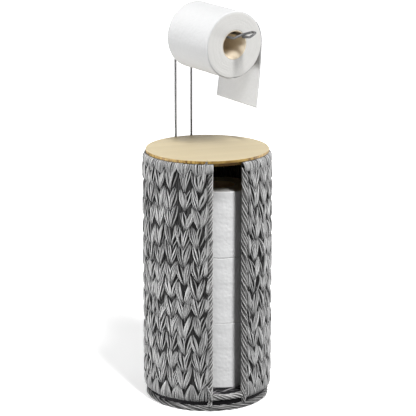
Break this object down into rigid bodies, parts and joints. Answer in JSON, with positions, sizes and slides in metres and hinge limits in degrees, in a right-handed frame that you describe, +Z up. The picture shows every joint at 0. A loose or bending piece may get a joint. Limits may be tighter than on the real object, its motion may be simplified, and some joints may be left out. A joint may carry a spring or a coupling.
{
  "type": "toilet roll storage holder",
  "caption": "Round woven paper basket on a wire frame with a slot down its front, a lift-off bamboo lid and a bent wire arm that holds one toilet roll above it, shown with its rolls.",
  "frame": {"origin": "on the floor, under the middle of the base ring", "axes": "+Z up, -Y out through the middle of the slot, +X to the right seen from the front"},
  "size_m": [0.1884, 0.1865, 0.577],
  "materials": {
    "frame_wire": "satin black",
    "paper_rope": "twisted flat paper strip, matt",
    "paper_weave": "creased flat paper strip, matt",
    "black_board": "painted fibreboard, matt black",
    "bamboo": "satin lacquer, fine straight grain",
    "arm_wire": "bright satin",
    "tube_card": "plain card",
    "tissue": "soft embossed tissue"
  },
  "bodies": {
    "basket": {"base_ring_wire": "frame_wire", "base_ring_wrap": "paper_rope", "foot_wires": "frame_wire", "foot_wraps": "paper_rope", "floor_board": "black_board", "lower_hoop": "frame_wire", "sill_wrap": "paper_rope", "rim_wire": "frame_wire", "left_post_wrap": "paper_rope", "right_post_wrap": "paper_rope", "stakes": "frame_wire", "lower_border": "paper_weave", "woven_wall": "paper_weave", "rim_border": "paper_weave", "roll_arm": "arm_wire", "stored_core_1": "tube_card", "stored_paper_1": "tissue", "stored_core_2": "tube_card", "stored_paper_2": "tissue"},
    "lid": {"lid_board": "bamboo", "lid_plug": "bamboo"},
    "hung_roll": {"roll_core": "tube_card", "roll_paper": "tissue", "roll_tail": "tissue"},
    "upper_stored_roll": {"stored_core_3": "tube_card", "stored_paper_3": "tissue"}
  },
  "joints": [
    {"name": "lid_lift", "type": "slide", "parent": "basket", "child": "lid", "axis": [0, 0, 1], "range_m": [0, 0.038]},
    {"name": "roll_turn", "type": "hinge", "parent": "basket", "child": "hung_roll", "pos_m": [0.02999, -0.03052, 0.5243], "axis": [0.2804, -0.9589, -0.0436], "continuous": true},
    {"name": "stored_roll_lift", "type": "slide", "parent": "basket", "child": "upper_stored_roll", "axis": [0, 0, 1], "range_m": [0, 0.042]}
  ]
}
